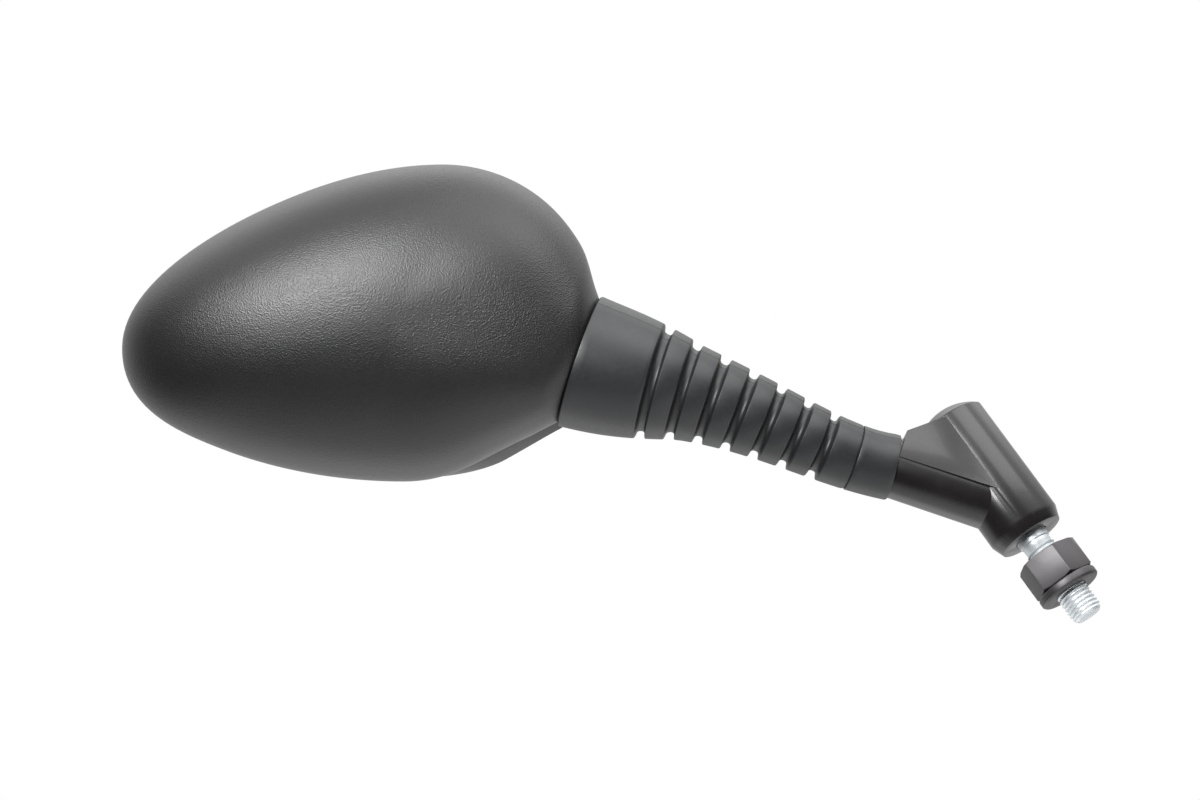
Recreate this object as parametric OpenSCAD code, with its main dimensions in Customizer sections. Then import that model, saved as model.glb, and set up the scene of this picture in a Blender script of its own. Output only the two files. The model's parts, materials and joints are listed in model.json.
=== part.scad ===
// Right-hand motorcycle mirror: egg-shaped head on a ball joint, rubber boot over the arm,
// cast elbow that swivels on a threaded stud, lock nut with its own washer.
// Millimetres. Z runs up along the stud, Y points back to the rider, the head lies towards -X.
// The origin is on the stud's axis, at the face that the lock nut clamps down on.

/* [Stud and lock nut] */
// Thread's outer diameter
thread_d = 9.8; // [8:0.1:12]
// Free thread below the lock nut
thread_free = 8.5; // [5:0.5:20]
// Chamfer at the stud's lower end
thread_chamfer = 1.2; // [0.5:0.1:2]
// Undercut between thread and collar, diameter
relief_d = 8.9; // [7:0.1:9]
// Undercut's length
relief_len = 1.6; // [1:0.1:3]
// Length of the groove that parts the free thread from the thread under the nut
seat_groove = 0.9; // [0.6:0.1:1.5]
// Collar under the elbow, diameter
collar_d = 9.8; // [9:0.1:12]
// Collar's length
collar_len = 1.8; // [1:0.1:4]
// Nut size across its flats
nut_flats = 17; // [15:0.5:19]
// Nut height without the washer
nut_h = 10; // [8:0.1:14]
// Washer diameter
washer_d = 19.2; // [17:0.1:22]
// Washer height
washer_h = 3.1; // [2:0.1:4]
// Turn of the nut at rest
nut_turned = 43.7; // [0:0.1:60]
// Gap from the nut to the elbow's lower face
nut_gap = 7.1; // [3:0.1:12]

/* [Elbow] */
// Barrel diameter
barrel_d = 22.8; // [20:0.1:26]
// Barrel length
barrel_len = 42.6; // [42:0.5:60]
// Barrel's lower face diameter
barrel_face_d = 20; // [17:0.1:22]
// Length of the taper down to that face
barrel_taper = 3.8; // [3:0.1:8]
// Height of the neck's axis over the lower face
neck_height = 11.3; // [10:0.5:18]
// Neck diameter
neck_d = 18.5; // [16:0.1:20]
// Visible neck, from the barrel's axis to the boot
neck_len = 36.5; // [30:0.5:40]
// Thickness of the web at the barrel
web_t = 20.8; // [14:0.1:22]
// Thickness of the web at the boot
web_end_t = 18.8; // [14:0.1:20]
// Angle between the stud and the arm
arm_angle = 41.6; // [38:0.1:45]
// Bearing of the arm round the stud
arm_bearing = 203.2; // [198:0.1:208]
// Diameter of the shank inside the barrel
shank_d = 10; // [8:0.1:11]
// Bore of the barrel for the bushes
bush_bore_d = 15; // [13:0.1:16]
// Bore above the bushes for the springs
spring_bore_d = 18; // [16.5:0.1:19]
// Height of the cap's dome over the barrel
cap_rise = 4.6; // [3:0.1:7]

/* [Boot] */
// Boot length
boot_len = 98.9; // [90:0.1:110]
// Diameter at the head
boot_head_d = 41.2; // [38:0.1:43]
// Diameter at the neck
boot_neck_d = 19.8; // [19:0.1:22]
// How fast the boot thins towards the neck
boot_taper = 1.85; // [1.5:0.05:2.2]
// How far the cuff swells over that taper
cuff_swell = 1.25; // [0:0.05:1.5]
// Length of that swelling
swell_len = 35; // [25:1:45]
// Number of grooves
groove_count = 7; // [4:1:8]
// First groove's distance from the head end
groove_first = 23.2; // [20:0.1:26]
// Distance from groove to groove
groove_pitch = 8.93; // [8:0.01:9.2]
// Groove width
groove_w = 3; // [2:0.1:4]
// Groove depth
groove_depth = 2.35; // [1.5:0.05:2.6]
// Wall of the boot under its grooves
boot_wall = 2.8; // [2:0.1:3]
// Sideways bow of the boot
boot_bow = 1.8; // [0:0.1:2.5]
// Upward bow of the boot
boot_lift = 1.2; // [0:0.1:2]

/* [Ball joint] */
// Ball diameter
ball_d = 14; // [12:0.5:15]
// Rod diameter
rod_d = 9; // [7:0.5:9]
// Rod diameter beside the ball
rod_neck_d = 7; // [6:0.5:7.5]
// Distance from the boot's head end to the ball's centre
ball_depth = 26.4; // [25:0.1:28]
// Running gap of each spherical fit
seat_gap = 0.05; // [0.03:0.01:0.1]
// Wall of the inner seat
liner_wall = 1.2; // [1:0.1:1.5]
// Wall of the outer seat
cup_wall = 1.4; // [1:0.1:1.6]
// Half-angle through which the head tilts
head_swing = 7; // [5:1:8]

/* [Head] */
// Lean of the head's plane from the stud
head_lean = 22; // [18:1:26]
// Turn of the head in its own plane
head_roll = 33.6; // [30:0.1:37]
// Rim's front face, measured from the ball's centre
rim_front = 30; // [29:0.5:32]
// Depth of the rim's flange
flange_t = 5.5; // [5:0.5:6]
// Height of the crown over the ball's centre
crown_h = 25; // [23:0.5:28]
// Wall of the head
head_wall = 2.5; // [2:0.1:3]
// Width of the rim round the glass
rim_w = 3; // [2.5:0.1:4]
// Air between the boot and the head
boot_gap = 1.2; // [0.8:0.1:1.6]
// Glass thickness
glass_t = 2; // [1.5:0.1:3]
// Radius of the convex glass
glass_r = 1200; // [900:50:1600]
// Adhesive pad thickness
pad_t = 0.8; // [0.5:0.1:1.5]
// Backing plate thickness
backing_t = 1.6; // [1.2:0.1:2]

/* [Hidden] */
$fn = 64;

fit = 0.05;
play = 0.3;
cut = 1;

nut_top = washer_h + play + nut_h;
barrel_z = nut_top + nut_gap;
barrel_top = barrel_z + barrel_len;
elbow_z = barrel_z + neck_height;

arm_dir = [
    sin(arm_angle) * cos(arm_bearing), sin(arm_angle) * sin(arm_bearing), cos(arm_angle)
];
boot_end = neck_len + boot_len;
ball_at = boot_end + ball_depth;
ball_centre = [0, 0, elbow_z] + ball_at * arm_dir;
// Turns the arm's own frame so that its Y axis lies in the head's plane
arm_spin = 58.5;

head_u = [cos(head_roll), sin(head_roll) * sin(head_lean), -sin(head_roll) * cos(head_lean)];
head_v = [sin(head_roll), -cos(head_roll) * sin(head_lean), cos(head_roll) * cos(head_lean)];
head_w = [0, -cos(head_lean), -sin(head_lean)];
// Unit vector from the ball's centre to the stem, in the head's own frame
stem = -[arm_dir * head_u, arm_dir * head_v, arm_dir * head_w];
stem_bearing = atan2(stem.y, stem.x);
stem_rise = asin(stem.z);

seat_r = ball_d / 2 + seat_gap;
liner_r = seat_r + liner_wall;
cup_in_r = liner_r + seat_gap;
cup_r = cup_in_r + cup_wall;
socket_r = cup_r + seat_gap;

boot_edge_r = sqrt(pow(boot_head_d / 2, 2) + pow(ball_depth, 2));
cap_r = boot_edge_r - boot_gap;

module in_arm() {
    translate([0, 0, elbow_z]) rotate([0, arm_angle, arm_bearing]) rotate([0, 0, arm_spin])
        children();
}

module in_head() {
    translate(ball_centre) rotate([90 + head_lean, 0, 0]) rotate([0, 0, -head_roll])
        children();
}

// Turns Z onto the stem, from the ball's centre outwards
module along_stem() {
    rotate([0, 90 - stem_rise, stem_bearing]) children();
}

module ring(r_out, r_in, h) {
    difference() {
        cylinder(r = r_out, h = h);
        translate([0, 0, -cut]) cylinder(r = r_in, h = h + 2 * cut);
    }
}

/* Stud and what turns with it */

disc_t = 0.7;
disc_rise = 0.6;
disc_count = 6;
disc_pack = disc_count * (disc_t + disc_rise);
thrust_t = 2;
pivot_nut_h = 8;
pivot_nut_flats = 13;
shank_over = 2;
cap_room = 2.5;
// The stack hangs from the barrel's top, and the bushes fill what is left under it
pivot_stack = play + thrust_t + disc_pack + pivot_nut_h + shank_over + cap_room;
spring_floor = barrel_len - pivot_stack;
spring_z = barrel_z + spring_floor + play + thrust_t;
pivot_nut_z = spring_z + disc_pack;
shank_top = pivot_nut_z + pivot_nut_h + shank_over;
bush_z = 2.5;
bush_gap = 1;
bush_len = (spring_floor - bush_z - 1.5 * bush_gap) / 2;

module mount_stud() {
    shank_r = shank_d / 2;
    thread_r = thread_d / 2;
    collar_z = barrel_z - play - collar_len;
    color("silver") rotate_extrude() polygon([
        [0, -thread_free], [thread_r - thread_chamfer, -thread_free],
        [thread_r, -thread_free + thread_chamfer], [thread_r, 0],
        [relief_d / 2, 0], [relief_d / 2, seat_groove], [thread_r, seat_groove],
        [thread_r, collar_z - relief_len],
        [relief_d / 2, collar_z - relief_len], [relief_d / 2, collar_z],
        [collar_d / 2, collar_z], [collar_d / 2, barrel_z - play],
        [shank_r, barrel_z - play], [shank_r, shank_top - 1],
        [shank_r - 1, shank_top], [0, shank_top]
    ]);
}

module thrust_washer() {
    color("silver") translate([0, 0, barrel_z + spring_floor + play])
        ring(spring_bore_d / 2 - 0.5, shank_d / 2 + fit, thrust_t);
}

// One conical disc, its rim up
module disc_spring(r_in, r_out, t, rise) {
    rotate_extrude() polygon([[r_in, 0], [r_out, rise], [r_out, rise + t], [r_in, t]]);
}

module disc_pair(r_in, r_out, t, rise) {
    disc_spring(r_in, r_out, t, rise);
    translate([0, 0, 2 * (t + rise)]) mirror([0, 0, 1]) disc_spring(r_in, r_out, t, rise);
}

module pivot_springs() {
    color("dimgray") for (i = [0 : disc_count / 2 - 1])
        translate([0, 0, spring_z + i * 2 * (disc_t + disc_rise)])
            disc_pair(shank_d / 2 + fit, spring_bore_d / 2 - 0.6, disc_t, disc_rise);
}

module hex(flats, h) {
    cylinder(r = flats / 2 / cos(30), h = h, $fn = 6);
}

module pivot_nut() {
    color("silver") translate([0, 0, pivot_nut_z]) difference() {
        hex(pivot_nut_flats, pivot_nut_h);
        translate([0, 0, -cut]) cylinder(r = shank_d / 2 + fit, h = pivot_nut_h + 2 * cut);
    }
}

/* Lock nut and its washer */

spigot_r = washer_d / 2 - 2.4;
spigot_h = 1.6;

module nut_washer() {
    color("dimgray") difference() {
        rotate_extrude() polygon([
            [thread_d / 2 + fit, play], [washer_d / 2 - 0.6, play], [washer_d / 2, play + 0.6],
            [washer_d / 2, washer_h - 0.4], [washer_d / 2 - 0.4, washer_h],
            [thread_d / 2 + fit, washer_h]
        ]);
        translate([0, 0, washer_h - spigot_h - play])
            cylinder(r = spigot_r + fit, h = washer_h);
    }
}

module lock_nut() {
    corner_r = nut_flats / 2 / cos(30);
    chamfer = 0.9;
    color("dimgray") translate([0, 0, washer_h + play]) difference() {
        union() {
            intersection() {
                rotate([0, 0, nut_turned]) hex(nut_flats, nut_h);
                rotate_extrude() polygon([
                    [0, 0], [corner_r - chamfer, 0], [corner_r + 0.2, chamfer * 0.7],
                    [corner_r + 0.2, nut_h - chamfer * 0.7], [corner_r - chamfer, nut_h],
                    [0, nut_h]
                ]);
            }
            translate([0, 0, -spigot_h - play]) cylinder(r = spigot_r, h = spigot_h + play + cut);
        }
        translate([0, 0, -washer_h]) cylinder(r = thread_d / 2 + fit, h = nut_h + 2 * washer_h);
    }
}

/* Arm */

spigot_d = boot_neck_d - 3.2;
spigot_len = 11;
spigot_end = neck_len + spigot_len;
taper_len = 6;
rod_start = neck_len - 4;

module arm_casting() {
    bore_z = barrel_z + bush_z;
    color([0.1, 0.1, 0.1]) difference() {
        union() {
            translate([0, 0, barrel_z])
                cylinder(r1 = barrel_face_d / 2, r2 = barrel_d / 2, h = barrel_taper);
            translate([0, 0, barrel_z + barrel_taper])
                cylinder(r = barrel_d / 2, h = barrel_len - barrel_taper);
            in_arm() rotate_extrude() polygon([
                [0, 0], [neck_d / 2, 0], [neck_d / 2, neck_len], [spigot_d / 2, neck_len],
                [spigot_d / 2, spigot_end], [rod_d / 2 + 1.5, spigot_end + taper_len],
                [0, spigot_end + taper_len]
            ]);
            web();
        }
        translate([0, 0, barrel_z - cut]) cylinder(r = shank_d / 2 + play, h = barrel_len);
        translate([0, 0, bore_z]) cylinder(r = bush_bore_d / 2, h = barrel_len);
        translate([0, 0, barrel_z + spring_floor])
            cylinder(r = spring_bore_d / 2, h = barrel_len);
        translate([0, 0, barrel_top]) cylinder(r = barrel_d / 2, h = neck_len);
        in_arm() translate([0, 0, rod_start])
            cylinder(r = rod_d / 2 + fit, h = boot_len);
        in_arm() translate([0, 0, neck_len + spigot_len / 2])
            rotate([90, 0, 0]) cylinder(r = pin_d / 2 + fit, h = neck_d, center = true);
    }
}

// Flat gusset in the plane of the two axes, thickest at the barrel
module web() {
    low = 1.5;
    out = low * [cos(arm_angle), -sin(arm_angle)];
    tip = (neck_len - fit) * [sin(arm_angle), cos(arm_angle)];
    top = tip + (neck_d / 2 - 1.4) * [-cos(arm_angle), sin(arm_angle)];
    far = tip.x + neck_d;
    slope = (web_t - web_end_t) / 2 / tip.x;
    intersection() {
        translate([0, 0, elbow_z]) rotate([90, 0, arm_bearing])
            linear_extrude(height = web_t, center = true) polygon([
                [0, out.y - out.x / tan(arm_angle)], tip + out, top,
                [0, barrel_len - neck_height - 1]
            ]);
        rotate([0, 0, arm_bearing]) linear_extrude(height = 2 * barrel_top) polygon([
            [0, -web_t / 2], [far, -web_t / 2 + slope * far],
            [far, web_t / 2 - slope * far], [0, web_t / 2]
        ]);
    }
}

module barrel_cap() {
    plug_r = spring_bore_d / 2 - fit;
    plug_h = 4;
    edge_r = barrel_d / 2;
    sphere_r = (pow(edge_r, 2) + pow(cap_rise, 2)) / (2 * cap_rise);
    color([0.15, 0.15, 0.15]) translate([0, 0, barrel_top]) {
        intersection() {
            translate([0, 0, cap_rise - sphere_r]) sphere(r = sphere_r, $fn = 128);
            cylinder(r = edge_r - 0.3, h = cap_rise + cut);
        }
        translate([0, 0, -plug_h]) ring(plug_r, plug_r - 2, plug_h + 0.5);
    }
}

module pivot_bushes() {
    color("ivory") for (i = [0, 1]) translate([0, 0, barrel_z + bush_z + i * (bush_len + bush_gap)])
        ring(bush_bore_d / 2 - fit / 2, shank_d / 2 + fit, bush_len);
}

pin_d = 3;

module arm_rod() {
    neck_from = boot_end + 6;
    color("silver") in_arm() difference() {
        union() {
            rotate_extrude() polygon([
                [0, rod_start], [rod_d / 2, rod_start], [rod_d / 2, neck_from],
                [rod_neck_d / 2, neck_from + 4], [rod_neck_d / 2, ball_at], [0, ball_at]
            ]);
            translate([0, 0, ball_at]) sphere(r = ball_d / 2);
        }
        translate([0, 0, neck_len + spigot_len / 2])
            rotate([90, 0, 0]) cylinder(r = pin_d / 2 + fit, h = neck_d, center = true);
    }
}

module rod_pin() {
    color("silver") in_arm() translate([0, 0, neck_len + spigot_len / 2])
        rotate([90, 0, 0]) ring_pin();
}

module ring_pin() {
    translate([0, 0, -spigot_d / 2 + 0.4]) ring(pin_d / 2, pin_d / 2 - 0.6, spigot_d - 0.8);
}

/* Boot: stations count from the head end, s = 0, to the neck, s = boot_len */

band_gap = 0.6;
band_s = groove_first + (groove_count - 1) * groove_pitch + groove_w / 2 + 8.1;

function boot_r(s) =
    boot_neck_d / 2 + (boot_head_d - boot_neck_d) / 2 * pow(max(0, 1 - s / (boot_len - 3)), boot_taper)
    + cuff_swell * sin(180 * max(0, min(1, s / swell_len)));
function bow_x(s) = boot_bow * sin(180 * s / boot_len);
function bow_y(s) =
    boot_lift * 46 * pow(s / boot_len, 2) * (0.69 - s / boot_len) * (1 - s / boot_len);
function slope_x(s) = bow_x(s + 0.5) - bow_x(s - 0.5);
function slope_y(s) = bow_y(s + 0.5) - bow_y(s - 0.5);
function groove_s(i) = groove_first + i * groove_pitch;

module at_station(s) {
    translate([bow_x(s), bow_y(s), boot_end - s])
        rotate([atan(slope_y(s)), -atan(slope_x(s)), 0]) children();
}

// A rib from a to b with broken edges
module rib(a, b) {
    edge = 0.35;
    mid = (a + b) / 2;
    at_station(mid) rotate_extrude() polygon([
        [0, mid - a], [boot_r(a) - edge, mid - a], [boot_r(a), mid - a - edge],
        [boot_r(b), mid - b + edge], [boot_r(b) - edge, mid - b], [0, mid - b]
    ]);
}

module cuff() {
    b = groove_s(0) - groove_w / 2;
    steps = 5;
    rotate_extrude() polygon(concat(
        [[0, boot_end + 12]],
        [[boot_r(0), boot_end + 12]],
        [for (i = [0 : steps]) [boot_r(b * i / steps), boot_end - b * i / steps]],
        [[0, boot_end - b]]
    ));
}

module rubber_boot() {
    buried = 1.2;
    last = groove_count - 1;
    bore_s = [0, 10, groove_s(0), groove_s(1), groove_s(2), groove_s(3), groove_s(4), groove_s(last)];
    bore_in = boot_len - spigot_len - taper_len;
    color([0.12, 0.12, 0.12]) in_arm() difference() {
        union() {
            cuff();
            for (i = [0 : last]) at_station(groove_s(i))
                cylinder(r = boot_r(groove_s(i)) - groove_depth, h = groove_w + 2 * buried, center = true);
            for (i = [0 : last - 1]) rib(groove_s(i) + groove_w / 2, groove_s(i + 1) - groove_w / 2);
            rib(groove_s(last) + groove_w / 2, band_s);
            at_station(band_s) cylinder(r = boot_neck_d / 2 - 0.6, h = 4, center = true);
            rib(band_s + band_gap, boot_len);
        }
        translate([0, 0, ball_at]) sphere(r = boot_edge_r, $fn = 128);
        rotate_extrude() polygon(concat(
            [[0, boot_end + 13], [boot_r(0) - boot_wall, boot_end + 13]],
            [for (s = bore_s) [boot_r(s) - boot_wall - (s > 15 ? groove_depth : 0), boot_end - s]],
            [[rod_d / 2 + 0.6, boot_end - bore_in], [0, boot_end - bore_in]]
        ));
        translate([0, 0, neck_len + fit - boot_len / 2]) cylinder(r = neck_d, h = boot_len / 2);
        translate([0, 0, neck_len - cut]) cylinder(r = spigot_d / 2 + fit, h = spigot_len + cut);
        translate([0, 0, neck_len + spigot_len - 0.01])
            cylinder(r1 = spigot_d / 2 + fit, r2 = rod_d / 2 + 1.5 + fit, h = taper_len);
        translate([0, 0, neck_len]) cylinder(r = rod_d / 2 + 0.6, h = boot_len / 2);
    }
}

/* Ball joint */

module seat_shell(r_in, r_out, mouth_r) {
    difference() {
        sphere(r = r_out);
        sphere(r = r_in);
        cylinder(r = mouth_r, h = r_out + cut);
    }
}

module ball_liner() {
    slit = 1;
    color("ivory") in_head() along_stem() difference() {
        seat_shell(seat_r, liner_r, rod_neck_d / 2 + 1.2);
        for (a = [0, 90]) rotate([0, 0, a]) translate([-liner_r - cut, -slit / 2, 1])
            cube([2 * (liner_r + cut), slit, liner_r + cut]);
    }
}

module ball_cup() {
    color("dimgray") in_head() along_stem()
        seat_shell(cup_in_r, cup_r, rod_neck_d / 2 + cup_r * tan(head_swing) + 1.2);
}

mouth_r = rod_neck_d / 2 + (cup_r + 6) * tan(1.45 * head_swing) + 0.6;
split = 0.8;
plate_t = 2;
plate_r = cup_r + 3.4;
ear_r = 4.2;
clamp_reach = 15.5;
bracket_reach = 24;
bracket_z = 4;
bracket_t = 3;
screw_d = 4;

clamp_bearings = [stem_bearing + 90, stem_bearing + 180, stem_bearing + 270];
bracket_bearings = [stem_bearing + 105, stem_bearing + 180, stem_bearing + 255];

module at_bearing(bearing, reach) {
    rotate([0, 0, bearing]) translate([reach, 0, 0]) children();
}

module ear(bearing, reach, r, t) {
    at_bearing(bearing, reach) cylinder(r = r, h = t);
    rotate([0, 0, bearing]) translate([0, -r, 0]) cube([reach, 2 * r, t]);
}

module socket_bracket() {
    block_h = 12.4;
    color("lightslategray") in_head() difference() {
        union() {
            translate([0, 0, split]) cylinder(r = plate_r, h = block_h - split);
            for (b = clamp_bearings) translate([0, 0, split]) ear(b, clamp_reach, ear_r, 6);
            for (b = bracket_bearings) translate([0, 0, bracket_z])
                ear(b, bracket_reach, ear_r + 0.6, bracket_t);
        }
        sphere(r = socket_r);
        along_stem() cylinder(r = mouth_r, h = plate_r + ear_r);
        for (b = clamp_bearings) at_bearing(b, clamp_reach)
            cylinder(r = screw_d / 2 + fit, h = block_h);
        for (b = bracket_bearings) at_bearing(b, bracket_reach)
            cylinder(r = screw_d / 2 + play, h = block_h);
    }
}

module clamp_plate() {
    color("silver") in_head() difference() {
        union() {
            intersection() {
                sphere(r = socket_r + plate_t);
                translate([0, 0, -socket_r - plate_t]) cylinder(r = plate_r, h = socket_r + plate_t - split);
            }
            translate([0, 0, -split - plate_t]) cylinder(r = plate_r, h = plate_t);
            for (b = clamp_bearings) translate([0, 0, -split - plate_t])
                ear(b, clamp_reach, ear_r, plate_t);
        }
        sphere(r = socket_r);
        along_stem() cylinder(r = mouth_r, h = plate_r + ear_r);
        for (b = clamp_bearings) at_bearing(b, clamp_reach) translate([0, 0, -socket_r])
            cylinder(r = screw_d / 2 + play, h = socket_r);
    }
}

clamp_disc_t = 0.5;
clamp_disc_rise = 0.5;
clamp_pack = 4 * (clamp_disc_t + clamp_disc_rise);

module clamp_springs() {
    color("dimgray") in_head() for (b = clamp_bearings) at_bearing(b, clamp_reach)
        for (i = [0, 1]) translate([0, 0, -split - plate_t - (i + 1) * clamp_pack / 2])
            disc_pair(screw_d / 2 + fit, ear_r - 0.2, clamp_disc_t, clamp_disc_rise);
}

// Pan-head screw, its shank up along Z from the head's seat
module screw(len) {
    head_h = 2.4;
    drive_r = 1.5;
    difference() {
        union() {
            cylinder(r = screw_d / 2, h = len);
            translate([0, 0, -head_h]) cylinder(r1 = screw_d * 0.8, r2 = screw_d * 0.95, h = head_h);
        }
        translate([0, 0, -head_h - cut]) cylinder(r = drive_r, h = cut + 1.4, $fn = 6);
    }
}

module clamp_screws() {
    seat = -split - plate_t - clamp_pack;
    color("silver") in_head() for (b = clamp_bearings) at_bearing(b, clamp_reach)
        translate([0, 0, seat]) screw(-seat + split + 5.5);
}

module bracket_screws() {
    color("silver") in_head() for (b = bracket_bearings) at_bearing(b, bracket_reach)
        translate([0, 0, bracket_z]) screw(bracket_t + 7);
}

/* Head. Its frame has X and Y in the plane of the rim and Z towards the crown. */

// Each corner of an outline: x, y, direction of travel, handle before it, handle after it
body_corners = [
    [-115.3, -4, 89, 19, 17.5], [-72, 38.2, 25, 22, 19], [-17, 52, 0, 19, 14],
    [19.5, 35.2, -50, 14, 9], [32, 14, -62, 9, 10], [40, -12, -100, 10, 12],
    [17.2, -28.6, -165, 12, 6], [-0.1, -36, -153, 7, 9], [-29.3, -45.2, 180, 13, 19],
    [-84.2, -35.5, 159, 18, 15]
];
rim_corners = [
    [-114.3, -4, 89, 19, 17.5], [-71.6, 37.2, 25, 22, 19], [-17, 51, 0, 19, 14],
    [17, 34.9, -55, 14, 8], [27, 12, -74, 8, 7], [30.5, -9, -96, 7, 8],
    [19.5, -29.8, -152, 7, 5], [1.4, -38.9, -151, 7, 6], [-29.3, -44.8, 180, 15, 19],
    [-84, -35, 159, 18, 15]
];
crown = [-30, 4];
steps = 8;

function heading(a) = [cos(a), sin(a)];
function bezier(p, q, t) = let (
        a = [p[0], p[1]], d = [q[0], q[1]],
        b = a + p[4] * heading(p[2]), c = d - q[3] * heading(q[2]), s = 1 - t
    ) s * s * s * a + 3 * s * s * t * b + 3 * s * t * t * c + t * t * t * d;
function outline(c) = [
    for (i = [0 : len(c) - 1]) for (k = [0 : steps - 1])
        bezier(c[i], c[(i + 1) % len(c)], k / steps)
];
// Moves an outline inwards by d, across its own direction
function inset(p, d) = let (n = len(p)) [
    for (i = [0 : n - 1]) let (t = p[(i + 1) % n] - p[(i + n - 1) % n])
        p[i] + d * [t.y, -t.x] / norm(t)
];
function level(p, z) = [for (q = p) [q.x, q.y, z]];

// How far the head may reach from the ball's centre, so that it clears the boot as it tilts
function reach(q) = let (a = acos(q * stem / norm(q)))
    cap_r + 0.0078 * pow(max(0, a - 40), 2);
function limited(p, wall) = [
    for (q = p) let (far = norm(q), limit = reach(q) - wall) far > limit ? q * limit / far : q
];

dome_steps = 12;
dome_power = 2.2;
// The dome is fuller towards the stem, so that it closes round the boot
dome_fill = 2.2;
base_z = -12;
crease_z = -rim_front + flange_t + 1;

// How square the dome is over an outline point
function squareness(q) = let (
        to_stem = [stem.x, stem.y] * ball_depth - crown, away = q - crown,
        share = away * to_stem / norm(away) / norm(to_stem)
    ) dome_power + dome_fill * pow(max(0, share), 8);

// One ring of the dome, a degrees up from its base
function dome_ring(p, a, wall) = limited([
    for (q = p) let (
        power = squareness(q), shrink = pow(cos(a), 2 / power), rise = pow(sin(a), 2 / power),
        flat = crown + shrink * (q - crown)
    ) [flat.x, flat.y, base_z + rise * (crown_h - wall - base_z)]
], wall);
function dome_top(wall) = [crown.x, crown.y, crown_h - wall];

module head_skin() {
    body = outline(body_corners);
    rim = outline(rim_corners);
    inner = inset(body, head_wall);
    n = len(body);
    rings = concat(
        [for (i = [dome_steps - 1 : -1 : 0]) dome_ring(body, 90 * i / dome_steps, 0)],
        [limited(level(inset(body, 0.3), crease_z), 0)],
        [level(rim, crease_z - 1)],
        [level(rim, -rim_front + 0.6)],
        [level(inset(rim, 0.6), -rim_front)],
        [level(inset(rim, rim_w), -rim_front)],
        [level(inset(rim, rim_w), -rim_front + pocket)],
        [limited(level(inset(rim, rim_w + ledge), -rim_front + pocket), head_wall)],
        [limited(level(inset(rim, rim_w + ledge), -rim_front + pocket + 2), head_wall)],
        [for (i = [0 : 2 : dome_steps - 1]) dome_ring(inner, 90 * i / dome_steps, head_wall)]
    );
    top = dome_top(0);
    under = dome_top(head_wall);
    last = len(rings) - 1;
    points = concat([top], [for (r = rings) each r], [under]);
    faces = concat(
        [for (i = [0 : n - 1]) [0, 1 + i, 1 + (i + 1) % n]],
        [for (k = [0 : last - 1]) for (i = [0 : n - 1]) let (
            a = 1 + k * n + i, b = 1 + k * n + (i + 1) % n
        ) each [[a, a + n, b + n], [a, b + n, b]]],
        [for (i = [0 : n - 1]) [len(points) - 1, 1 + last * n + (i + 1) % n, 1 + last * n + i]]
    );
    polyhedron(points = points, faces = faces);
}

// Seat for the edge of the glass: its depth behind the rim, and its width. The convex glass
// lies deeper at its edge than in its middle.
glass_reach = 75;
pocket = glass_t + glass_reach * glass_reach / 2 / glass_r + 0.3;
ledge = 2.2;

// Space that the boot's edge sweeps as the head tilts
module boot_sweep() {
    span = asin(boot_head_d / 2 / boot_edge_r) + 1.45 * head_swing;
    extra = 1.3 * head_swing;
    far = [for (s = [4 : 8 : 28]) [boot_r(s), ball_depth + s]];
    along_stem() rotate_extrude() polygon(concat(
        [for (a = [0 : span / 8 : span + 0.01])
            (cap_r + 0.25 + 0.0078 * pow(max(0, a - 40), 2)) * [sin(a), cos(a)]],
        [for (q = far) let (a = atan(q.x / q.y) + extra) norm(q) * [sin(a), cos(a)]],
        [[0, ball_depth + 28]]
    ));
}

// Solid whose skin runs in the middle of the dome's wall
module dome_core() {
    middle = inset(outline(body_corners), head_wall / 2);
    n = len(middle);
    angles = [for (i = [0 : 2 : dome_steps - 1]) 90 * i / dome_steps];
    top = dome_top(head_wall / 2);
    rings = [for (a = angles) dome_ring(middle, a, head_wall / 2)];
    last = len(rings) - 1;
    points = concat([for (r = rings) each r], [top]);
    faces = concat(
        [[for (i = [0 : n - 1]) n - 1 - i]],
        [for (k = [0 : last - 1]) for (i = [0 : n - 1]) let (
            a = k * n + i, b = k * n + (i + 1) % n
        ) each [[a + n, a, b], [a + n, b, b + n]]],
        [for (i = [0 : n - 1]) [n * (last + 1), last * n + i, last * n + (i + 1) % n]]
    );
    polyhedron(points = points, faces = faces);
}

module bosses() {
    foot = bracket_z + bracket_t;
    intersection() {
        dome_core();
        for (b = bracket_bearings) at_bearing(b, bracket_reach) translate([0, 0, foot])
            cylinder(r = ear_r, h = crown_h - foot, $fn = 32);
    }
}

module head_shell() {
    color([0.1, 0.1, 0.1]) in_head() difference() {
        union() {
            head_skin();
            bosses();
        }
        boot_sweep();
        along_stem() cylinder(r = mouth_r + 3.5, h = boot_edge_r + 5, $fn = 48);
        for (b = bracket_bearings) at_bearing(b, bracket_reach)
            cylinder(r = screw_d / 2 + fit, h = bracket_z + bracket_t + 8, $fn = 32);
    }
}

// Lens-shaped slab of even thickness t whose front lies at depth z on its axis
module lens(z, t) {
    wide = 100;
    span = 10;
    function sag(r) = glass_r - sqrt(glass_r * glass_r - r * r);
    translate([-42, 1, z]) rotate_extrude($fn = 96) polygon(concat(
        [for (r = [0 : span : wide]) [r, sag(r)]],
        [for (r = [wide : -span : 0]) [r, sag(r) + t]]
    ));
}

module plate(outline, z, t) {
    intersection() {
        lens(z, t);
        translate([0, 0, -rim_front - cut]) linear_extrude(height = rim_front) polygon(outline);
    }
}

function glazing(margin) = inset(outline(rim_corners), rim_w + margin);

glass_z = -rim_front + 0.2;

module mirror_glass() {
    color("lightblue") in_head() plate(glazing(0.3), glass_z, glass_t);
}

// Outline of what is bonded behind the glass
function backing() = let (shrink = 0.7) [for (q = glazing(0)) crown + shrink * (q - crown)];

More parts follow.
